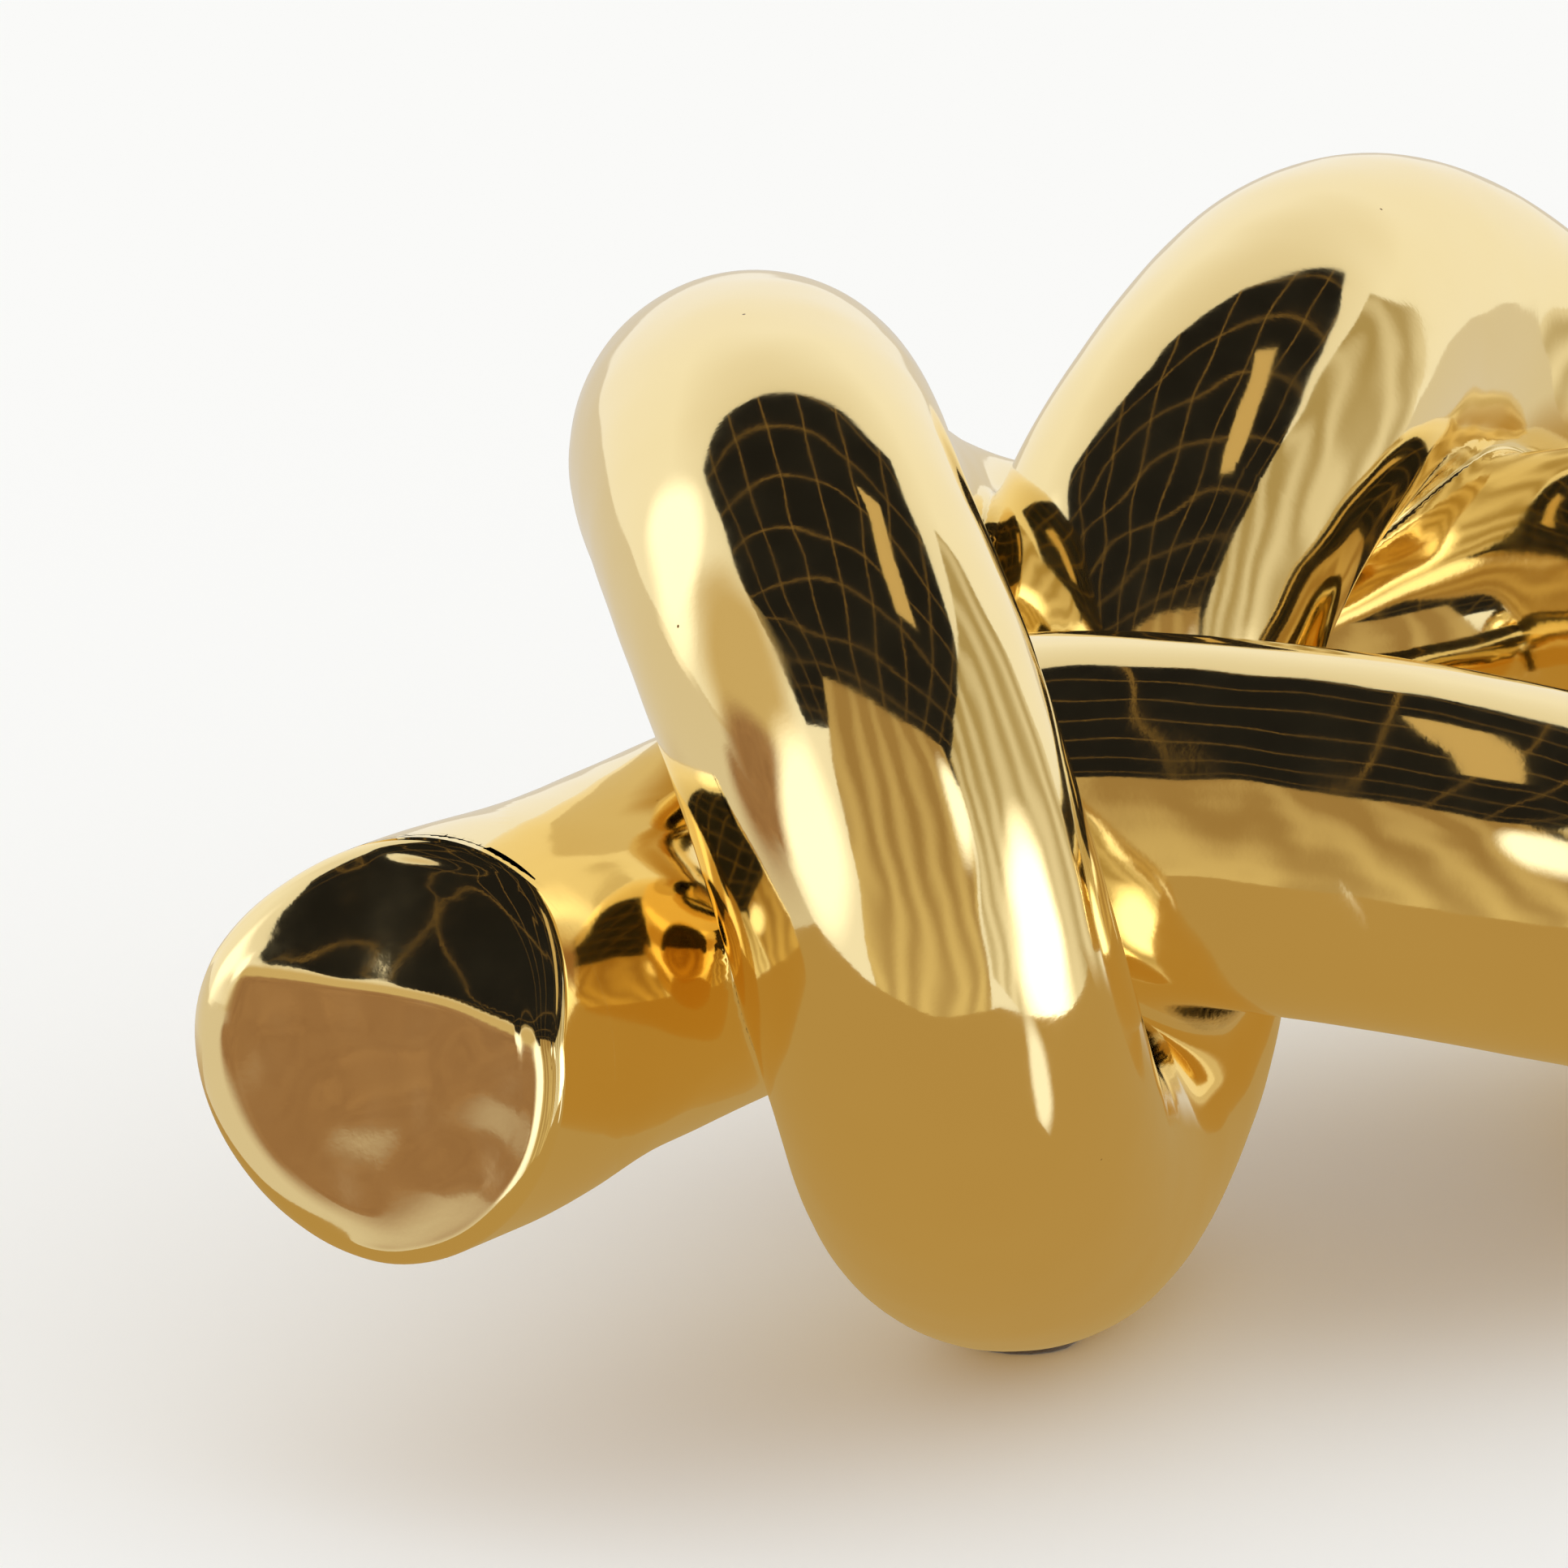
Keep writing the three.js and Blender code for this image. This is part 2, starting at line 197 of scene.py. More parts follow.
class KnotForm(bpy.types.PropertyGroup):
    """Sizes of the knot's pieces."""

    tube_diameter: length("Tube diameter", "Outer diameter of the tube", 60)
    wall: length("Wall", "Thickness of the cast wall", 6.5)
    gap: length("Gap", "Clearance between neighbouring pieces", 0.3)
    seam_width: length("Seam width", "Width of the slip seam in a butt joint", 3)
    glaze: length("Glaze", "Thickness of the glaze that covers a slip seam", 0.3)
    cap_edge: length("Cap edge", "Straight edge of an end cap", 2)
    cap_rim: length("Cap rim", "Radius of an end cap's rounded rim", 3.5)
    cap_slant: angle("Cap slant", "How far the rim of an end cap leans back", 13)
    face_foot: length("Face foot", "How far an end face stands out at its lower edge", 1.5)
    face_pitch: angle("Face pitch", "How far the lower part of an end face leans back", 6.5)
    roll: length("Roll", "How far the face of an end rolls back at its lower left", 2.4)
    roll_width: length("Roll width", "Width of the roll at the lower left of an end face", 9)
    roll_turn: angle("Roll turn", "How far below the left side the middle of the roll lies", 32)
    roll_calm: number("Roll calm", "How much of a face's relief is lost at its left rim", 0.6)
    face_waves: number("Face waves", "How many times more uneven an end face is than the tube", 2.2)
    shoulder: length("Shoulder", "Height of an end face's shoulder above the tube's axis", 10.5)
    shoulder_sag: length("Shoulder sag", "How much lower the shoulder lies at the right of an end face", 5)
    shoulder_depth: length("Shoulder depth", "Stretch over which the shoulder turns back", 2)
    shoulder_pitch: angle("Shoulder pitch", "How far an end face leans back just above its shoulder", 38)
    top_pitch: angle("Top pitch", "How far an end face leans back at its top", 42)
    end_flare: length("End flare", "Extra radius of the tube at its ends", 1.8)
    end_swell: length("End swell", "How far the left side of the visible end swells", 6)
    flare_length: length("Flare length", "Stretch of tube over which an end flares", 45)
    waves: length("Waves", "Height of the slow unevenness of the hand-finished clay", 0.5)
    wave_length: length("Wave length", "Distance between the slow waves", 38)
    ripples: length("Ripples", "Height of the small unevenness of the hand-finished clay", 0.13)
    ripple_length: length("Ripple length", "Distance between the small waves", 11)
    vent: length("Vent", "Diameter of the firing vent", 5)
    vent_place: number("Vent place", "Where the vent is along its section, from 0 to 1", 0.6)
    foot_grind: length("Foot grind", "Depth ground off each foot", 3)
    crease: length("Crease", "Reach of the slip fillet in a crease", 5)
    web: length("Web", "Extra reach of the wide web between the front run and the centre leg", 20)
    web_spread: length("Web spread", "How far the wide web spreads", 21)
    pad_bevel: length("Pad bevel", "Worn edge of a felt pad", 0.5)
    step: length("Skin step", "Distance between rings of the skin", 1.5)
    bore_step: length("Bore step", "Distance between rings of the bore", 9)
    sides: IntProperty(name="Sides", description="Sides of the skin's rings", default=128, min=12)


class KnotFinish(bpy.types.PropertyGroup):
    """Colours and surface of the knot's finishes."""

    gold: colour("Gold", "Lustre where it lies thick", "FFEDB7")
    gold_thin: colour("Thin gold", "Lustre where it lies thin", "F9E3A8")
    pinhole: colour("Pinhole", "Glaze pinhole that the lustre missed", "5A3A16")
    clay: colour("Clay", "Bare fired clay", "E3D8C4")
    clay_speck: colour("Clay speck", "Iron speck in the clay", "9A7B58")
    felt: colour("Felt", "Wool felt", "4A3B2C")
    felt_fibre: colour("Felt fibre", "Pale fibres in the wool felt", "6B5843")
    roughness: number("Lustre roughness", "Roughness of the lustre", 0.05)
    grain: length("Grain", "Height of the fine orange-peel of the glaze", 0.004)
    grain_length: length("Grain length", "Distance between the bumps of the orange-peel", 1.1)


class KnotStage(bpy.types.PropertyGroup):
    """Camera, light and surroundings of the studio."""

    floor: colour("Floor", "Pale floor", "FAFAF8")
    floor_far: colour("Floor, mirrored", "White of the floor as the lustre mirrors it", "DAD2C5")
    table: colour("Table", "Tan of the table round the knot", "B5975F")
    table_edge: colour("Table edge", "Copper brown of the table at the left", "B38E6A")
    table_shade: colour("Table shade", "Darker patches of the table at the left", "79573F")
    drape: colour("Drape", "Cream drape in front of the knot", "DAC490")
    drape_fold: colour("Drape fold", "Shaded fold of the cream drape", "9E8152")
    sheer: colour("Sheer", "White sheer cloth at the right", "EFE8D8")
    sheer_fold: colour("Sheer fold", "Shaded fold of the white sheer cloth", "AD9B71")
    wall: colour("Wall", "Tan card at the left", "CBB589")
    ceiling: colour("Ceiling", "Dark ceiling card", "1B1A1A")
    ceiling_line: colour("Ceiling line", "Pale joint in the ceiling card", "8A6E40")
    slot: colour("Slot", "Light slot in the ceiling card", "C9AE7A")
    light: colour("Soft light", "White that the lustre mirrors", "F7F5F2")
    high_light: colour("High light", "Dimmer light above the soft light", "E2DACB")
    camera_elevation: angle("Camera elevation", "Height of the view", 14.31)
    camera_distance: number("Camera distance", "Distance of the view, in tube diameters", 36.0)
    view_height: number("View height", "Height of the picture's middle, in tube diameters", 1.925)
    view_width: number("View width", "Width of the picture, in tube diameters", 4.067)


# Strand


def unit(rows):
    """Rows of vectors, each made one long."""
    return rows / np.linalg.norm(rows, axis=1)[:, None]


class Strand:
    """The knot's axis as evenly spaced points, with a frame along it that doesn't twist."""

    def __init__(self, guide):
        dense = spline_points(guide, np.linspace(0, LAST_PLACE, SPLINE_STEPS + 1))
        travelled = np.concatenate(([0], np.cumsum(np.linalg.norm(np.diff(dense, axis=0), axis=1))))
        self.length = travelled[-1]
        self.travelled = travelled
        count = int(round(self.length / AXIS_SPACING))
        self.along = np.linspace(0, self.length, count + 1)
        self.points = np.stack([np.interp(self.along, travelled, dense[:, i]) for i in range(3)], axis=1)
        self.tangents = unit(np.gradient(self.points, axis=0))
        self.sides = self.untwisted_sides()

    def untwisted_sides(self):
        """One side direction for each point, carried along the axis without twisting."""
        sides = np.zeros_like(self.points)
        side = np.cross(self.tangents[0], (0, 0, 1))
        for i, tangent in enumerate(self.tangents):
            side = side - tangent * np.dot(side, tangent)
            side = side / np.linalg.norm(side)
            sides[i] = side
        return sides

    def place(self, guide_place):
        """Distance along the strand of a place counted in guide points."""
        shares = np.linspace(0, 1, SPLINE_STEPS + 1)
        return float(np.interp(guide_place / LAST_PLACE, shares, self.travelled))

    def at(self, values, along):
        """A table of the strand, read between its points."""
        position = np.clip(along / self.length, 0, 1) * (len(self.along) - 1)
        low = np.minimum(position.astype(int), len(self.along) - 2)
        part = (position - low)[:, None]
        return values[low] * (1 - part) + values[low + 1] * part

    def ring_directions(self, along, sides):
        """For each distance along the strand, the unit directions from the axis to a ring of points."""
        tangent = unit(self.at(self.tangents, along))
        side = self.at(self.sides, along)
        side = unit(side - tangent * np.sum(side * tangent, axis=1)[:, None])
        up = np.cross(tangent, side)
        turn = np.linspace(0, 2 * math.pi, sides, endpoint=False)
        return side[:, None, :] * np.cos(turn)[None, :, None] + up[:, None, :] * np.sin(turn)[None, :, None]

    def nearest(self, points, along):
        """The nearest place of the axis, starting from a guess, with its distance and direction."""
        for _ in range(AXIS_ROUNDS):
            axis = self.at(self.points, along)
            tangent = self.at(self.tangents, along)
            along = np.clip(along + np.sum((points - axis) * tangent, axis=1), 0, self.length)
        away = points - self.at(self.points, along)
        distance = np.linalg.norm(away, axis=1)
        return along, distance, away / np.maximum(distance, TINY)[:, None]

    def other_guess(self, points, along, apart):
        """A guess at the nearest place of any stretch of the strand that is further along than apart."""
        coarse = self.points[::COARSE_STRIDE]
        coarse_along = self.along[::COARSE_STRIDE]
        squared = np.sum(points**2, axis=1)[:, None] + np.sum(coarse**2, axis=1)[None]
        squared = squared - 2 * points @ coarse.T
        squared[np.abs(along[:, None] - coarse_along[None]) < apart] = np.inf
        best = np.argmin(squared, axis=1)
        return coarse_along[best], np.sqrt(np.maximum(squared[np.arange(len(points)), best], 0))


def spline_points(guide, places):
    """Points of the uniform cubic B-spline over the guide points, with straight ends."""
    first = 2 * guide[0] - guide[1]
    last = 2 * guide[-1] - guide[-2]
    points = np.vstack((first, guide, last))
    low = np.minimum(places.astype(int), len(guide) - 2)
    f = (places - low)[:, None]
    return (
        points[low] * (1 - f) ** 3
        + points[low + 1] * (3 * f**3 - 6 * f**2 + 4)
        + points[low + 2] * (-3 * f**3 + 3 * f**2 + 3 * f + 1)
        + points[low + 3] * f**3
    ) / 6


def end_radius(form):
    """Radius of the tube at its ends."""
    return form.tube_diameter / 2 + form.end_flare


def cap_lean(form):
    """How far the top and the bottom of an end face lie from its middle, along the tube."""
    return end_radius(form) * math.tan(form.cap_slant)


def cap_thickness(form):
    """Depth of an end cap from its joint to the middle of its face."""
    return form.cap_edge + form.cap_rim + cap_lean(form)


def end_part(form, from_tip):
    """How far along the flare of an end a place lies: 0 at the joint with the cap, 1 where it runs out."""
    return np.clip((from_tip - cap_thickness(form)) / form.flare_length, 0, 1)


def end_share(part):
    """The share of an end's flare and swell at a part of its length, which runs out smoothly."""
    return (1 - part) ** 2 * (1 + 2 * part)


def tube_radius(form, strand, along):
    """Outer radius of the tube along the strand, which flares a little towards the end caps."""
    part = end_part(form, np.minimum(along, strand.length - along))
    return form.tube_diameter / 2 + form.end_flare * end_share(part)


def left_of_start(strand):
    """The left side of the strand's first end, as someone who looks at its face sees it."""
    left = np.cross(-strand.tangents[0], (0, 0, 1))
    return left / np.linalg.norm(left)


def swollen_start(form, strand, points, normals, place):
    """Swells the left side of the strand's first end, and turns the normals with it."""
    left = left_of_start(strand)
    part = end_part(form, place)
    leftward = np.maximum(0, (points - strand.at(strand.points, place)) @ left) / end_radius(form)
    share = form.end_swell * end_share(part)
    lengthwise = -6 * part * (1 - part) * form.end_swell / form.flare_length
    sideways = 2 * share * leftward / end_radius(form)
    slope = np.outer(sideways, left) + (lengthwise * leftward**2)[:, None] * strand.tangents[0]
    normals = normals - slope * (normals @ left / (1 + sideways))[:, None]
    return points + np.outer(share * leftward**2, left), normals


def knot_strand(form):
    """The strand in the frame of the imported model, found by the place of one slip seam."""
    strand = Strand(np.array(ROUTE) * form.tube_diameter)
    low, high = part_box(REFERENCE_SEAM)
    seam = (np.array(low) + np.array(high)) / 2
    strand.shift = seam - strand.at(strand.points, np.array([strand.place(REFERENCE_PLACE)]))[0]
    strand.points = strand.points + strand.shift
    lowest = foot_plane(form) - form.foot_grind + form.tube_diameter / 2
    if abs(strand.points[:, 2].min() - lowest) > form.gap:
        raise RuntimeError("The strand doesn't lie where the packed model does")
    return strand


def foot_plane(form):
    """Height of the ground foot faces above the surface that the knot stands on."""
    pad_top = max(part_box(pad)[1].z for pad in FELT_PADS)
    return pad_top + form.gap


# Skin of the cast sections


def fillet_reach(form, strand, points):
    """Reach of the slip fillet at each point: narrow in most creases, wide at the web by the centre leg."""
    web_middle = np.array(WEB_MIDDLE) * form.tube_diameter + strand.shift
    squared = np.sum((points - web_middle) ** 2, axis=1)
    return form.crease + form.web * np.exp(-squared / (2 * form.web_spread**2))


def blend_towards_other(own, other, reach):
    """Height over the joined skin of two tubes, and the share that each one has in its slope."""
    mix = np.clip(1 - np.abs(own - other) / reach, 0, None)
    height = np.minimum(own, other) - mix**2 * reach / 4
    own_share = np.where(own < other, 1 - mix / 2, mix / 2)
    return height, own_share


def unevenness(form, points):
    """Height of the hand-finished clay over a smooth form, and the slope of that height, at each point."""
    probe = 0.5 * MM
    height = np.zeros(len(points))
    slope = np.zeros((len(points), 3))
    for corner in ((1, -1, -1), (-1, -1, 1), (-1, 1, -1), (1, 1, 1)):
        near = points + np.array(corner) * probe
        slow = [noise.noise(place) for place in (near / form.wave_length).tolist()]
        small = [noise.noise(place) for place in (near / form.ripple_length).tolist()]
        here = form.waves * np.array(slow) + form.ripples * np.array(small)
        height += here / 4
        slope += np.outer(here, corner) / (4 * probe)
    return height, slope


def glazed_skin(form, strand, along, coped):
    """Points and normals of a section's skin, joined by slip fillets to the strands that it touches."""
    radius = tube_radius(form, strand, along)
    directions = strand.ring_directions(along, form.sides)
    axis = strand.at(strand.points, along)
    shape = directions.shape
    points = (axis[:, None, :] + directions * radius[:, None, None]).reshape(-1, 3)
    swell = strand.at(strand.tangents, along) * np.gradient(radius, along)[:, None]
    normals = (directions - swell[:, None, :]).reshape(-1, 3)
    place = np.repeat(along, form.sides)

    spare = 2 * MM
    other_place, distance = strand.other_guess(points, place, BOND_APART * form.tube_diameter)
    near = np.flatnonzero(distance - form.tube_diameter / 2 < form.crease + form.web + spare)
    if len(near):
        skin, slope = skin_by_fillet(form, strand, points[near], place[near], other_place[near], coped)
        points[near] = skin
        normals[near] = slope

    points, normals = swollen_start(form, strand, points, unit(normals), place)
    normals = unit(normals)
    height, slope = unevenness(form, points)
    points = points + normals * height[:, None]
    normals = normals - slope + normals * np.sum(slope * normals, axis=1)[:, None]

    ground = points[:, 2] < foot_plane(form)
    points[ground, 2] = foot_plane(form)
    normals[ground] = (0, 0, -1)
    return points.reshape(shape), normals.reshape(shape)


def skin_by_fillet(form, strand, points, place, other_place, coped):
    """Moves skin points that are close to another strand on to the fillet between the two."""
    hidden_depth = 1.6 * MM
    stride = 1.0 * MM
    sink_reach = 3 * MM
    sink_depth = 0.3 * MM
    flattest = 0.05
    other_place, distance, away = strand.nearest(points, other_place)
    depth = tube_radius(form, strand, other_place) - distance
    hidden = depth > hidden_depth
    moved = points.copy()
    for _ in range(PROJECTION_ROUNDS):
        place, own_distance, own_away = strand.nearest(moved, place)
        other_place, other_distance, other_away = strand.nearest(moved, other_place)
        own = own_distance - tube_radius(form, strand, place)
        other = other_distance - tube_radius(form, strand, other_place)
        height, own_share = blend_towards_other(own, other, fillet_reach(form, strand, moved))
        slope = own_away * own_share[:, None] + other_away * (1 - own_share[:, None])
        move = slope * (height / np.maximum(np.sum(slope**2, axis=1), flattest))[:, None]
        size = np.maximum(np.linalg.norm(move, axis=1), stride)
        moved = moved - move * (stride / size)[:, None]
    slope = unit(slope)
    past = np.clip((own - other) / sink_reach, 0, 1)
    moved = moved - slope * (sink_depth * past**2)[:, None]
    moved[hidden] = points[hidden]
    if coped:
        moved[hidden] += away[hidden] * (form.gap + depth[hidden])[:, None]
    return moved, slope


def place_ring(verts, ring):
    """Puts a ring of vertices at a ring of points."""
    for vert, point in zip(verts, ring):
        vert.co = point


def extruded_ring(bm, verts, edges):
    """Extrudes a ring of edges and gives the new ring in the same order as the old one."""
    made = bmesh.ops.extrude_edge_only(bm, edges=edges)["geom"]
    order = {vert: i for i, vert in enumerate(verts)}
    new_verts = [None] * len(verts)
    new_edges = []
    fresh = {item for item in made if isinstance(item, bmesh.types.BMVert)}
    for vert in fresh:
        for edge in vert.link_edges:
            old = edge.other_vert(vert)
            if old in order:
                new_verts[order[old]] = vert
    for item in made:
        if isinstance(item, bmesh.types.BMEdge) and item.verts[0] in fresh and item.verts[1] in fresh:
            new_edges.append(item)
    return new_verts, new_edges


def ringed_body(rings):
    """A bmesh through rings of points, with the list of its vertices ring by ring and its end edges."""
    bm = bmesh.new()
    bmesh.ops.create_circle(bm, cap_ends=False, radius=1.0, segments=len(rings[0]))
    bm.verts.ensure_lookup_table()
    verts = list(bm.verts)
    edges = list(bm.edges)
    first_edges = edges
    place_ring(verts, rings[0])
    ordered = [verts]
    for ring in rings[1:]:
        verts, edges = extruded_ring(bm, verts, edges)
        place_ring(verts, ring)
        ordered.append(verts)
    return bm, ordered, first_edges, edges


def vertex_normals(bm, ordered, normals):
    """A normal for each vertex, in the mesh's order: zero past the rings whose normals are given."""
    bm.verts.index_update()
    made = np.zeros((len(bm.verts), 3))
    for verts, ring_normals in zip(ordered, normals):
        for vert, normal in zip(verts, ring_normals):
            if vert.is_valid:
                made[vert.index] = normal
    return made.tolist()


def finished_piece(name, bm, normals=None):
    """Turns a bmesh into a smooth-shaded object at the origin. Zero normals are left to the mesh."""
    bmesh.ops.recalc_face_normals(bm, faces=bm.faces)
    # Extruding makes faces in no fixed order, so they are sorted by their vertices.
    bm.verts.index_update()
    in_order = sorted(bm.faces, key=lambda face: sorted(vert.index for vert in face.verts))
    for index, face in enumerate(in_order):
        face.index = index
    bm.faces.sort()
    mesh = bpy.data.meshes.new(name)
    bm.to_mesh(mesh)
    bm.free()
    mesh.shade_smooth()
    if normals is not None:
        mesh.normals_split_custom_set_from_vertices(normals)
    piece = bpy.data.objects.new(name, mesh)
    bpy.context.scene.collection.objects.link(piece)
    return piece


def dress(piece, material, slot, *nodes):
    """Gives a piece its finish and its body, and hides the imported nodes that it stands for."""
    piece.data.materials.clear()
    piece.data.materials.append(material)
    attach(piece, BODY)
    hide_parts(*nodes)


def open_vent(form, strand, bm, along):
    """Opens the firing vent in a section's underside, from the skin to the bore."""
    middle = Vector(strand.at(strand.points, np.array([along]))[0])
    opened = []
    for face in bm.faces:
        away = face.calc_center_median() - middle
        if away.z < 0 and away.xy.length < form.vent / 2:
            opened.append(face)
    bmesh.ops.delete(bm, geom=opened, context="FACES")
    rims = [edge for edge in bm.edges if edge.is_boundary]
    for vert in {vert for edge in rims for vert in edge.verts}:
        vert.co.xy = middle.xy + (vert.co - middle).xy.normalized() * (form.vent / 2)
    bmesh.ops.bridge_loops(bm, edges=rims)


def cast_section(form, strand, name, start, end, start_seam, end_seam):
    """One hollow cast section with its glazed skin. A seam at an end is covered by a thin lip of glaze."""
    rings_per_vent = 3
    count = int(round((end - start) / form.step))
    along = np.linspace(start, end, count + 1)
    skin, skin_normals = glazed_skin(form, strand, along, name in COPED_SECTIONS)
    under_glaze = skin - strand.ring_directions(along, form.sides) * form.glaze
    rings = list(skin)
    if end_seam:
        rings.extend((under_glaze[-1], under_glaze[-2]))
    bore_start = along[1] if start_seam else along[0]
    bore_end = along[-2] if end_seam else along[-1]
    bore_step = form.vent / rings_per_vent if name == VENTED_SECTION else form.bore_step
    bore_count = int(round((bore_end - bore_start) / bore_step))
    bore_along = np.linspace(bore_end, bore_start, bore_count + 1)
    bore_radius = (tube_radius(form, strand, bore_along) - form.wall)[:, None, None]
    bore = strand.at(strand.points, bore_along)[:, None, :]
    rings.extend(bore + strand.ring_directions(bore_along, form.sides) * bore_radius)
    if start_seam:
        rings.extend((under_glaze[1], under_glaze[0]))
    bm, ordered, first_edges, last_edges = ringed_body(rings)
    bmesh.ops.bridge_loops(bm, edges=first_edges + last_edges)
    if name == VENTED_SECTION:
        inset = form.seam_width / 2
        open_vent(form, strand, bm, start + inset + (end - start - 2 * inset) * form.vent_place)
    return finished_piece(name + "_glazed", bm, vertex_normals(bm, ordered, skin_normals))


def cap_profile(form):
    """Radius and height of an end cap's outline, from the joint over the rim to near the middle."""
    rim_steps = 24
    face_steps = 60
    radius = end_radius(form)
    flat = radius - form.cap_rim
    profile = [(radius, 0.0), (radius, form.cap_edge / 2), (radius, form.cap_edge)]
    for i in range(1, rim_steps + 1):
        turn = math.pi / 2 * i / rim_steps
        profile.append((flat + form.cap_rim * math.cos(turn), form.cap_edge + form.cap_rim * math.sin(turn)))
    for i in range(1, face_steps):
        profile.append((flat * (1 - i / face_steps), form.cap_edge + form.cap_rim))
    return profile


def face_relief(form, heights, across):
    """How far an end face stands out from its leaning plane: steep below, and turned back at a shoulder."""
    samples = 200
    flat = end_radius(form) - form.cap_rim
    heights = heights + form.shoulder_sag * np.minimum(0, across / end_radius(form)) ** 2
    steps = np.linspace(-flat, flat, samples)
    turns = (-flat, form.shoulder, form.shoulder + form.shoulder_depth, flat)
    pitches = (form.face_pitch, form.face_pitch, form.shoulder_pitch, form.top_pitch)
    slope = math.tan(form.cap_slant) - np.interp(steps, turns, [math.tan(pitch) for pitch in pitches])
    rise = np.cumsum((slope[1:] + slope[:-1]) / 2 * np.diff(steps))
    return np.interp(heights, steps, form.face_foot + np.concatenate(([0], rise)))


def end_cap(form, strand, name, tip_place):
    """One end cap: straight edge, rounded rim, and a leaning face that was patted by hand."""
    softened = 2.5 * MM
    widest = end_radius(form)
    smoothing_rounds = 8
    tip = strand.at(strand.points, np.array([tip_place]))[0]
    tangent = strand.at(strand.tangents, np.array([tip_place]))[0]
    outward = tangent / np.linalg.norm(tangent) * (1 if tip_place > 0 else -1)
    directions = strand.ring_directions(np.array([tip_place]), form.sides)[0]
    upright = np.array((0, 0, 1)) - outward * outward[2]
    upright = upright / np.linalg.norm(upright)
    rises = directions @ upright
    leftmost = np.cross(outward, upright)
    roll_middle = leftmost * math.cos(form.roll_turn) - upright * math.sin(form.roll_turn)
    rolled = np.maximum(0, directions @ roll_middle) ** 2
    calmed = form.roll_calm * np.maximum(0, directions @ leftmost)
    base = tip - outward * cap_thickness(form)
    flat = widest - form.cap_rim
    left = left_of_start(strand)
    swell = form.end_swell if tip_place == 0 else 0.0
    rings = []
    edge_normals = []
    for radius, height in cap_profile(form):
        leftward = np.maximum(0, directions @ left) * radius / widest
        ring = base + directions * radius + np.outer(swell * leftward**2, left)
        fade = min(1.0, (widest - radius) / form.cap_rim)
        if height > 0:
            part = max(0.0, 1 - (widest - radius) / form.roll_width) ** 2
            lean = cap_lean(form) * (1 - radius * rises / widest)
            relief = face_relief(form, radius * rises, radius * (directions @ leftmost))
            relief = relief * (1 - calmed * part) - form.roll * rolled * part
            ring = ring + outward * (height + lean + relief)[:, None]
        uneven, slope = unevenness(form, ring)
        raised = directions * (1 - fade) + outward * fade * form.face_waves
        rings.append(ring + raised * uneven[:, None])
        if fade == 0:
            across = directions @ left
            normal = directions - np.outer(2 * swell * leftward / widest * across, left)
            normal = unit(normal)
            edge_normals.append(normal - slope + normal * np.sum(slope * normal, axis=1)[:, None])
    bm, ordered, first_edges, last_edges = ringed_body(rings)
    rim = []
    for verts, (radius, _) in zip(ordered, cap_profile(form)):
        if abs(radius - flat) < softened:
            rim.extend(verts)
    for _ in range(smoothing_rounds):
        bmesh.ops.smooth_vert(bm, verts=rim, factor=0.5, use_axis_x=True, use_axis_y=True, use_axis_z=True)
    bmesh.ops.contextual_create(bm, geom=last_edges)
    bmesh.ops.contextual_create(bm, geom=first_edges)
    for edge in first_edges:
        edge.smooth = False
    return finished_piece(name + "_glazed", bm, vertex_normals(bm, ordered, edge_normals))


def felt_pad(form, node):
    """One die-cut felt pad with a worn edge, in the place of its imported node."""
    weld = 0.01 * MM
    level = math.radians(1)
    sharp = math.radians(60)
    bm = bmesh.new()
    bm.from_mesh(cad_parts[node].data)
    bmesh.ops.remove_doubles(bm, verts=bm.verts, dist=weld)
    bmesh.ops.dissolve_limit(bm, angle_limit=level, verts=bm.verts, edges=bm.edges)
    rim = [edge for edge in bm.edges if edge.calc_face_angle(0) > sharp]
    bmesh.ops.bevel(
        bm, geom=rim, offset=form.pad_bevel, offset_type="OFFSET", affect="EDGES",
        segments=4, profile=0.5, material=-1,
    )
    return finished_piece(node + "_cut", bm)


# Finishes


def add_node(tree, kind, output=None, inputs=None, **settings):
    """Adds a shader node with its settings and gives one of its outputs.

    An input is a value, a colour, which gets full opacity, or a socket that is linked to it."""
    node = tree.nodes.new("ShaderNode" + kind)
    for name, value in settings.items():
        setattr(node, name, value)
    for name, value in (inputs or {}).items():
        if isinstance(value, bpy.types.NodeSocket):
            tree.links.new(value, node.inputs[name])
        else:
            node.inputs[name].default_value = (*value, 1.0) if node.inputs[name].type == "RGBA" else value
    return None if output is None else node.outputs[output]


def new_finish(name):
    """A material without nodes, and its tree."""
    material = bpy.data.materials.new(name)
    material.use_nodes = True
    material.node_tree.nodes.clear()
    return material, material.node_tree


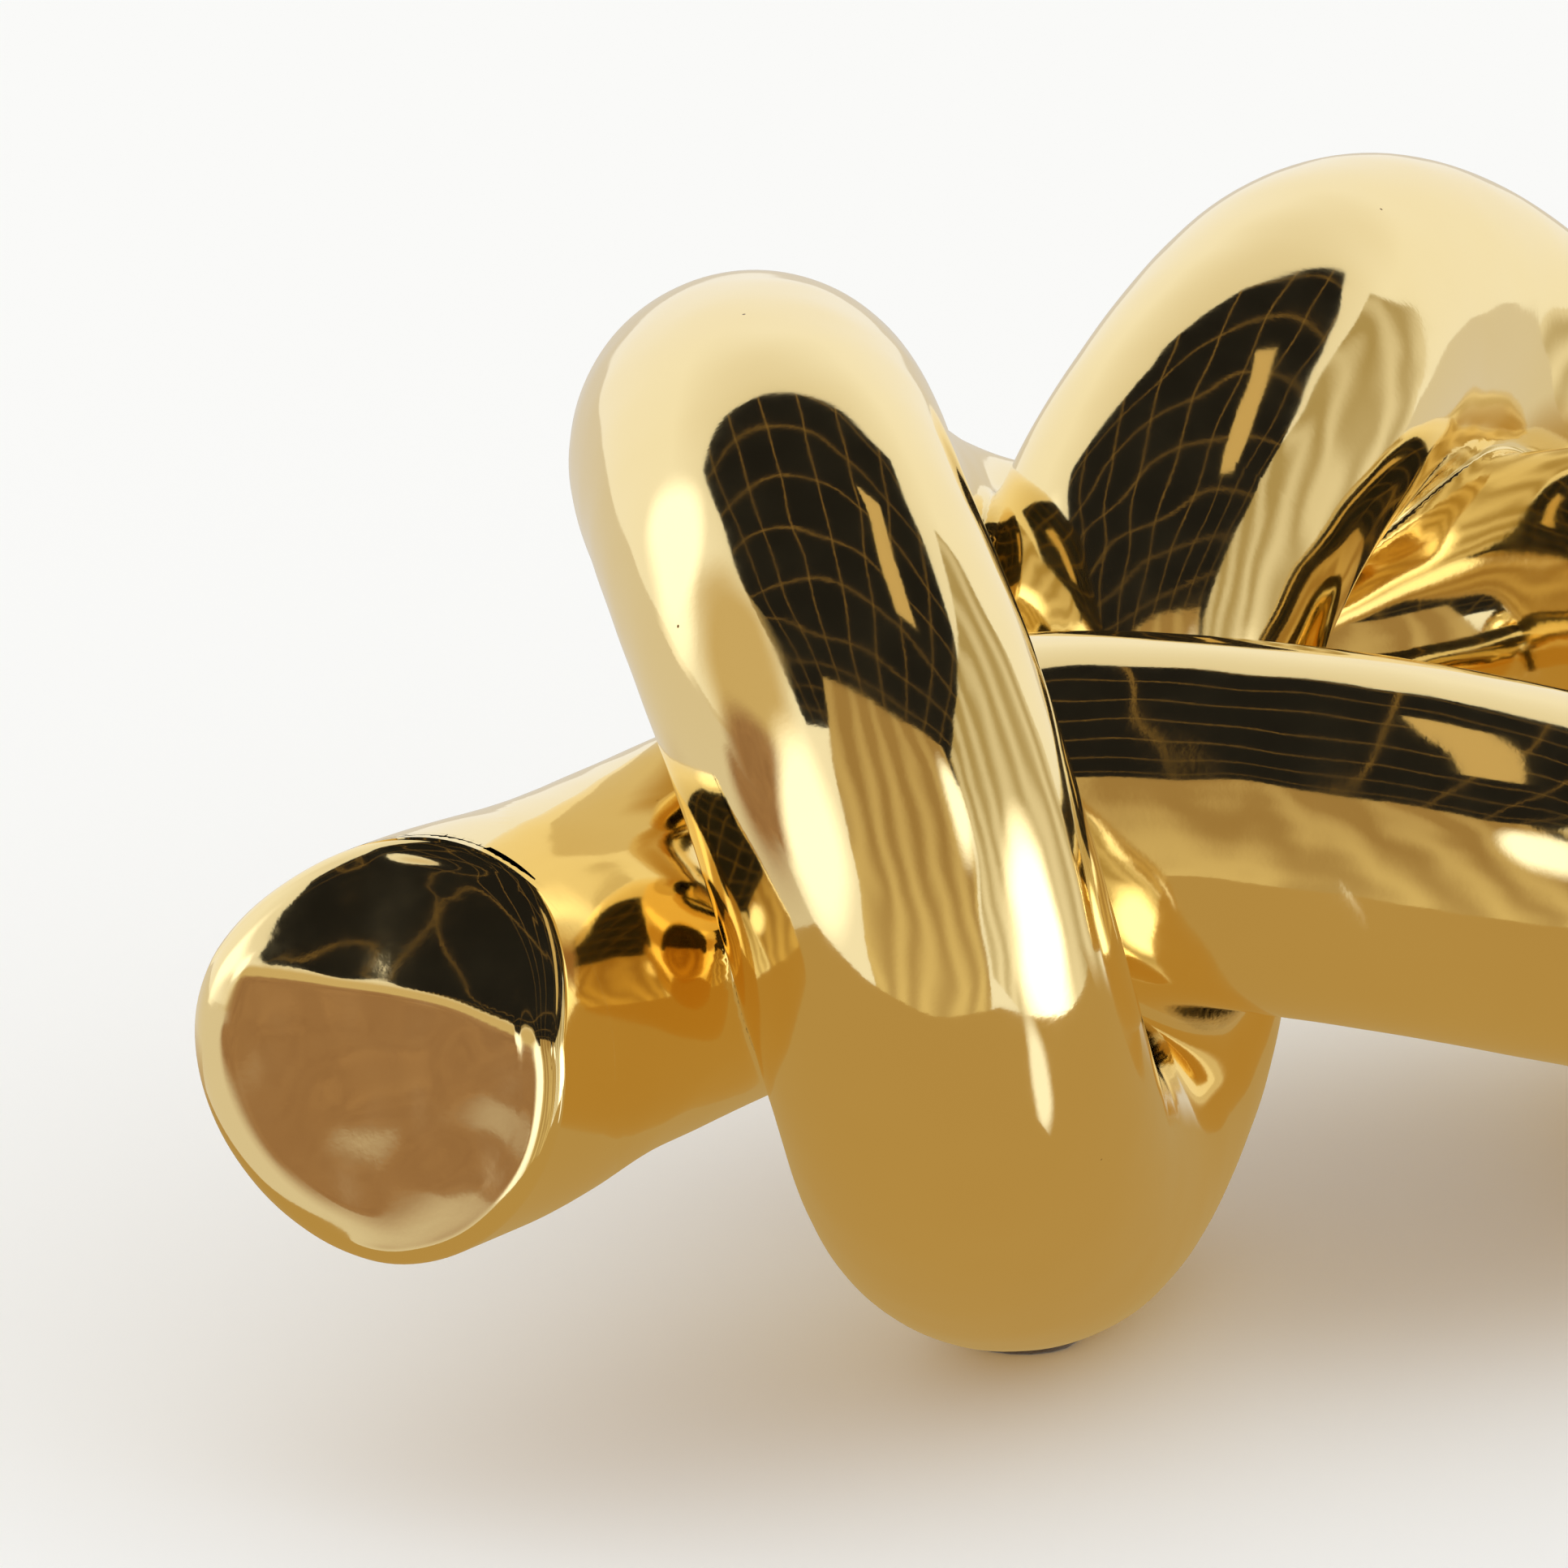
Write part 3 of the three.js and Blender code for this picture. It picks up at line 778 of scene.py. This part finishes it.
def gold_lustre(finish):
    """Fired gold lustre over glossy glaze: a mirror metal film that shows the glaze's
    fine orange-peel, a few pinholes, and a redder tone where it was brushed on thin."""
    brushed_patch = 55 * MM
    pinhole_spacing = 17 * MM
    satin_patch = 9 * MM
    material, tree = new_finish("fired_gold_lustre")
    place = add_node(tree, "TexCoord", "Object")
    brushing = add_node(
        tree, "TexNoise", "Fac",
        {"Vector": place, "Scale": 1 / brushed_patch, "Detail": 3.0, "Roughness": 0.6},
    )
    film = add_node(
        tree, "Mix", 2, {0: brushing, 6: finish.gold_thin, 7: finish.gold}, data_type="RGBA"
    )
    holes = add_node(tree, "TexVoronoi", "Distance", {"Vector": place, "Scale": 1 / pinhole_spacing})
    missed = add_node(
        tree, "MapRange", "Result",
        {"Value": holes, "From Min": 0.011, "From Max": 0.02, "To Min": 1.0, "To Max": 0.0},
    )
    tone = add_node(tree, "Mix", 2, {0: missed, 6: film, 7: finish.pinhole}, data_type="RGBA")
    smoke = add_node(
        tree, "TexNoise", "Fac",
        {"Vector": place, "Scale": 1 / satin_patch, "Detail": 4.0, "Roughness": 0.65},
    )
    satin = add_node(
        tree, "MapRange", "Result",
        {
            "Value": smoke, "From Min": 0.35, "From Max": 0.75,
            "To Min": finish.roughness, "To Max": finish.roughness * 2,
        },
    )
    peel = add_node(
        tree, "TexNoise", "Fac", {"Vector": place, "Scale": 1 / finish.grain_length, "Detail": 2.0}
    )
    grained = add_node(tree, "Bump", "Normal", {"Height": peel, "Distance": finish.grain, "Strength": 1.0})
    surface = add_node(
        tree, "BsdfPrincipled", "BSDF",
        {"Base Color": tone, "Metallic": 1.0, "Roughness": satin, "Normal": grained},
    )
    add_node(tree, "OutputMaterial", inputs={"Surface": surface})
    return material


def bare_clay(finish):
    """Fired stoneware slip, unglazed: chalky and matt, with a fine grit and small iron specks."""
    speck_spacing = 2.5 * MM
    grit_size = 0.8 * MM
    grit_height = 0.05 * MM
    material, tree = new_finish("bare_fired_clay")
    place = add_node(tree, "TexCoord", "Object")
    specks = add_node(tree, "TexVoronoi", "Distance", {"Vector": place, "Scale": 1 / speck_spacing})
    iron = add_node(
        tree, "MapRange", "Result",
        {"Value": specks, "From Min": 0.08, "From Max": 0.14, "To Min": 1.0, "To Max": 0.0},
    )
    tone = add_node(
        tree, "Mix", 2, {0: iron, 6: finish.clay, 7: finish.clay_speck}, data_type="RGBA"
    )
    grit = add_node(tree, "TexNoise", "Fac", {"Vector": place, "Scale": 1 / grit_size, "Detail": 3.0})
    gritty = add_node(tree, "Bump", "Normal", {"Height": grit, "Distance": grit_height})
    surface = add_node(
        tree, "BsdfPrincipled", "BSDF", {"Base Color": tone, "Roughness": 0.9, "Normal": gritty}
    )
    add_node(tree, "OutputMaterial", inputs={"Surface": surface})
    return material


def wool_felt(finish):
    """Pressed wool felt, die-cut: matt, with a soft bloom and short pale fibres that lie all ways."""
    fibre_size = 1.2 * MM
    nap_height = 0.3 * MM
    material, tree = new_finish("pressed_wool_felt")
    place = add_node(tree, "TexCoord", "Object")
    fibres = add_node(
        tree, "TexNoise", "Fac",
        {"Vector": place, "Scale": 1 / fibre_size, "Detail": 5.0, "Roughness": 0.7, "Distortion": 2.0},
    )
    tone = add_node(
        tree, "Mix", 2, {0: fibres, 6: finish.felt, 7: finish.felt_fibre}, data_type="RGBA"
    )
    nap = add_node(tree, "Bump", "Normal", {"Height": fibres, "Distance": nap_height})
    surface = add_node(
        tree, "BsdfPrincipled", "BSDF",
        {"Base Color": tone, "Roughness": 0.95, "Sheen Weight": 0.4, "Sheen Roughness": 0.6, "Normal": nap},
    )
    add_node(tree, "OutputMaterial", inputs={"Surface": surface})
    return material


# Stage


def card_corners(name):
    """Two near and two far corners of a studio card. An upright one has its bottom near and its top far."""
    if name in LEVEL_CARDS:
        height, *plan = LEVEL_CARDS[name]
        return [(*corner, height) for corner in plan]
    if name in UPRIGHT_CARDS:
        start, end, bottom, top = UPRIGHT_CARDS[name]
        return [(*start, bottom), (*end, bottom), (*start, top), (*end, top)]
    return SHEEN_CARD


def stage_card(name, material):
    """A flat card of the studio. The camera sees one of them, and the lustre mirrors the others."""
    bm = bmesh.new()
    bm.loops.layers.uv.new("card")
    bmesh.ops.create_grid(bm, x_segments=1, y_segments=1, size=0.5, calc_uvs=True)
    near_left, near_right, far_left, far_right = (Vector(corner) for corner in card_corners(name))
    for vert in bm.verts:
        near = near_left.lerp(near_right, vert.co.x + 0.5)
        far = far_left.lerp(far_right, vert.co.x + 0.5)
        vert.co = near.lerp(far, vert.co.y + 0.5)
    mesh = bpy.data.meshes.new(name)
    bm.to_mesh(mesh)
    bm.free()
    card = bpy.data.objects.new(name, mesh)
    bpy.context.scene.collection.objects.link(card)
    card.data.materials.append(material)
    if name == SEEN_CARD:
        card.visible_glossy = False
    else:
        card.visible_camera = False
        card.visible_diffuse = False
        card.visible_shadow = False


def fading(tree, surface, middle):
    """Lets the surface of a card fade: it is whole round a middle and clear at the edges.

    The middle is given in half heights of the card from its near edge."""
    place = add_node(tree, "TexCoord", "UV")
    centred = add_node(
        tree, "Mapping", "Vector", {"Vector": place, "Location": (-1, -middle, 0), "Scale": (2, 2, 1)}
    )
    patch = add_node(tree, "TexGradient", "Fac", {"Vector": centred}, gradient_type="SPHERICAL")
    fade = add_node(
        tree, "MapRange", "Result", {"Value": patch, "From Max": 0.55},
        interpolation_type="SMOOTHSTEP",
    )
    clear = add_node(tree, "BsdfTransparent", "BSDF")
    return add_node(tree, "MixShader", "Shader", {0: fade, 1: clear, 2: surface})


def lit_card(material, tree, tone, strength=1.0, middle=None):
    """Ends the material of a card that glows in a tone. One with a middle fades towards its edges."""
    surface = add_node(tree, "Emission", "Emission", {"Color": tone, "Strength": strength})
    if middle is not None:
        surface = fading(tree, surface, middle)
    add_node(tree, "OutputMaterial", inputs={"Surface": surface})
    return material


def glowing(name, rgb):
    """A plain glowing card, such as a table top or a light slot."""
    return lit_card(*new_finish(name), rgb)


def soft_glow(name, rgb, strength=1.0, middle=1.0):
    """A soft patch of light or colour on a card, which fades towards the edges."""
    return lit_card(*new_finish(name), rgb, strength, middle)


def soft_mottle(name, light, dark):
    """A soft-edged card in two tones that run into each other in patches."""
    patch = 70 * MM
    material, tree = new_finish(name)
    place = add_node(tree, "TexCoord", "Object")
    patches = add_node(
        tree, "TexNoise", "Fac", {"Vector": place, "Scale": 1 / patch, "Detail": 4.0, "Distortion": 1.5}
    )
    tone = add_node(tree, "Mix", 2, {0: patches, 6: dark, 7: light}, data_type="RGBA")
    return lit_card(material, tree, tone, middle=1.0)


def tiled_ceiling(stage):
    """A dark ceiling card with pale joints between square tiles."""
    tile = 0.6
    joint = 0.01
    material, tree = new_finish("dark_tiled_card")
    place = add_node(tree, "TexCoord", "Object")
    tiles = add_node(
        tree, "TexBrick", "Color",
        {
            "Vector": place, "Color1": stage.ceiling, "Color2": stage.ceiling,
            "Mortar": stage.ceiling_line, "Scale": 1.0, "Mortar Size": joint,
            "Mortar Smooth": 0.3, "Brick Width": tile, "Row Height": tile,
        },
        offset=0.0,
    )
    return lit_card(material, tree, tiles)


def folded_cloth(name, light, shade, along, sag):
    """A hanging cloth in soft folds that follow each other along one axis, darker towards its top."""
    fold = 0.7
    wave_period = math.pi / 10
    material, tree = new_finish(name)
    place = add_node(tree, "TexCoord", "Object")
    folds = add_node(
        tree, "TexWave", "Fac",
        {"Vector": place, "Scale": wave_period / fold, "Distortion": 7.0, "Detail": 2.0},
        bands_direction=along,
    )
    soft_folds = add_node(tree, "MapRange", "Result", {"Value": folds, "To Min": 0.5, "To Max": 1.1})
    height = add_node(tree, "SeparateXYZ", "Y", {"Vector": add_node(tree, "TexCoord", "UV")})
    shaded = add_node(
        tree, "Math", "Value", {0: height, 1: -sag, 2: soft_folds}, operation="MULTIPLY_ADD", use_clamp=True
    )
    tone = add_node(tree, "Mix", 2, {0: shaded, 6: shade, 7: light}, data_type="RGBA")
    return lit_card(material, tree, tone)


def pale_floor(stage):
    """A pale matt floor that keeps the knot's shadow."""
    material, tree = new_finish("pale_matt_floor")
    surface = add_node(tree, "BsdfDiffuse", "BSDF", {"Color": stage.floor})
    add_node(tree, "OutputMaterial", inputs={"Surface": surface})
    return material


def white_surroundings(stage):
    """A world of plain white, which the lustre mirrors a little dimmer towards the top."""
    world = bpy.data.worlds.new("white_surroundings")
    bpy.context.scene.world = world
    world.use_nodes = True
    tree = world.node_tree
    tree.nodes.clear()
    mirrored = add_node(tree, "LightPath", "Is Glossy Ray")
    white = add_node(tree, "Background", "Background", {"Color": hex_colour("FFFFFF"), "Strength": 1.0})
    direction = add_node(tree, "TexCoord", "Generated")
    height = add_node(tree, "SeparateXYZ", "Z", {"Vector": direction})
    high = add_node(tree, "MapRange", "Result", {"Value": height, "From Min": 0.5, "From Max": 0.85})
    tone = add_node(
        tree, "Mix", 2, {0: high, 6: stage.light, 7: stage.high_light}, data_type="RGBA"
    )
    cool = add_node(tree, "Background", "Background", {"Color": tone, "Strength": 1.0})
    mixed = add_node(tree, "MixShader", "Shader", {0: mirrored, 1: white, 2: cool})
    add_node(tree, "OutputWorld", inputs={"Surface": mixed})


def studio_camera(form, stage, strand):
    """The camera at the photograph's angle, level."""
    middle = Vector((0, 0, stage.view_height * form.tube_diameter)) + Vector(strand.shift)
    tilt = stage.camera_elevation
    forward = Vector((0, math.cos(tilt), -math.sin(tilt)))
    distance = stage.camera_distance * form.tube_diameter
    data = bpy.data.cameras.new("camera")
    data.sensor_fit = "HORIZONTAL"
    data.lens = data.sensor_width * stage.camera_distance / stage.view_width
    data.clip_end = 50.0
    camera = bpy.data.objects.new("camera", data)
    camera.location = middle - forward * distance
    camera.rotation_euler = (math.pi / 2 - tilt, 0, 0)
    bpy.context.scene.collection.objects.link(camera)
    bpy.context.scene.camera = camera


# Operators


def glazing(context):
    """The form, the finish and the strand, as every glazing operator needs them."""
    form = context.scene.knot_form
    return form, context.scene.knot_finish, knot_strand(form)


class KNOT_OT_cast_sections(bpy.types.Operator):
    """Glaze the cast tube sections of the knot"""

    bl_idname = "knot.cast_sections"
    bl_label = "Cast Sections"

    def execute(self, context):
        form, finish, strand = glazing(context)
        lustre = gold_lustre(finish)
        hairline = 0.02 * MM
        cap_joint = cap_thickness(form) + hairline
        start = cap_joint
        for name, end_place in SECTION_ENDS.items():
            last = end_place == LAST_PLACE
            end = strand.length - cap_joint if last else strand.place(end_place)
            section = cast_section(form, strand, name, start, end, start != cap_joint, not last)
            dress(section, lustre, "gold_lustre", name)
            start = end
        return {"FINISHED"}


class KNOT_OT_end_caps(bpy.types.Operator):
    """Glaze the two end caps"""

    bl_idname = "knot.end_caps"
    bl_label = "End Caps"

    def execute(self, context):
        form, _, strand = glazing(context)
        lustre = bpy.data.materials["fired_gold_lustre"]
        for name, tip_place in zip(END_CAPS, (0.0, strand.length)):
            dress(end_cap(form, strand, name, tip_place), lustre, "gold_lustre", name)
        return {"FINISHED"}


class KNOT_OT_slip_seams(bpy.types.Operator):
    """Give the slip seams under the glaze their bare clay"""

    bl_idname = "knot.slip_seams"
    bl_label = "Slip Seams"

    def execute(self, context):
        clay = bare_clay(context.scene.knot_finish)
        for name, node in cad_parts.items():
            if name.startswith("slip_seam_"):
                node.data.materials.clear()
                node.data.materials.append(clay)
        return {"FINISHED"}


class KNOT_OT_felt_pads(bpy.types.Operator):
    """Cut the felt pads under the two feet"""

    bl_idname = "knot.felt_pads"
    bl_label = "Felt Pads"

    def execute(self, context):
        felt = wool_felt(context.scene.knot_finish)
        for node in FELT_PADS:
            dress(felt_pad(context.scene.knot_form, node), felt, "felt", node)
        return {"FINISHED"}


class KNOT_OT_stage(bpy.types.Operator):
    """Set up the floor, the cards that the lustre mirrors, the light and the camera"""

    bl_idname = "knot.stage"
    bl_label = "Studio Stage"

    def execute(self, context):
        form, _, strand = glazing(context)
        stage = context.scene.knot_stage
        context.scene.view_settings.view_transform = "Standard"
        studio_camera(form, stage, strand)
        white_surroundings(stage)
        far_floor = glowing("mirrored_floor", stage.floor_far)
        copper = soft_mottle("copper_brown_table", stage.table_edge, stage.table_shade)
        white = hex_colour("FFFFFF")
        glow = soft_glow("front_glow", white, strength=1.5)
        cards = {
            SEEN_CARD: pale_floor(stage),
            "floor_left": far_floor,
            "floor_behind": far_floor,
            "ceiling_card": tiled_ceiling(stage),
            "slot_card": glowing("light_slot", stage.slot),
            "drape_card": folded_cloth("cream_drape", stage.drape, stage.drape_fold, along="X", sag=0.8),
            "sheer_card": folded_cloth(
                "white_sheer_cloth", stage.sheer, stage.sheer_fold, along="Y", sag=0.65
            ),
            "wall_card": soft_glow("tan_card", stage.wall),
            "table_front": glowing("tan_table", stage.table),
            "table_round": soft_glow("tan_table_round", stage.table, middle=0.0),
            "table_left": copper,
            "table_left_edge": copper,
            "glow_left": soft_glow("left_glow", white, strength=1.5),
            "glow_front_left": glow,
            "glow_far_right": glow,
            "glow_right": soft_glow("right_glow", white, strength=2.4),
            # Painted sheen: the right glow's reflection in the table top, put on as a glowing card
            "sheen_right": soft_glow("table_sheen", white, strength=1.1),
        }
        for name, material in cards.items():
            stage_card(name, material)
        return {"FINISHED"}


class KNOT_PT_sidebar(bpy.types.Panel):
    """Lists the knot's operators and settings"""

    bl_idname = "KNOT_PT_sidebar"
    bl_label = "Knot Sculpture"
    bl_space_type = "VIEW_3D"
    bl_region_type = "UI"
    bl_category = "Knot"

    def draw(self, context):
        for operator in OPERATORS:
            self.layout.operator(operator.bl_idname)
        for group in (context.scene.knot_form, context.scene.knot_finish, context.scene.knot_stage):
            for name in group.bl_rna.properties.keys():
                if name not in ("rna_type", "name"):
                    self.layout.prop(group, name)


SETTINGS = {"knot_form": KnotForm, "knot_finish": KnotFinish, "knot_stage": KnotStage}
OPERATORS = (
    KNOT_OT_cast_sections,
    KNOT_OT_end_caps,
    KNOT_OT_slip_seams,
    KNOT_OT_felt_pads,
    KNOT_OT_stage,
)


def register():
    for settings in SETTINGS.values():
        bpy.utils.register_class(settings)
    for name, settings in SETTINGS.items():
        setattr(bpy.types.Scene, name, PointerProperty(type=settings))
    for operator in OPERATORS:
        bpy.utils.register_class(operator)
    bpy.utils.register_class(KNOT_PT_sidebar)


def unregister():
    bpy.utils.unregister_class(KNOT_PT_sidebar)
    for operator in reversed(OPERATORS):
        bpy.utils.unregister_class(operator)
    for name in SETTINGS:
        delattr(bpy.types.Scene, name)
    for settings in reversed(list(SETTINGS.values())):
        bpy.utils.unregister_class(settings)


def main():
    register()
    bpy.ops.knot.cast_sections()
    bpy.ops.knot.end_caps()
    bpy.ops.knot.slip_seams()
    bpy.ops.knot.felt_pads()
    bpy.ops.knot.stage()


if __name__ == "__main__":
    main()
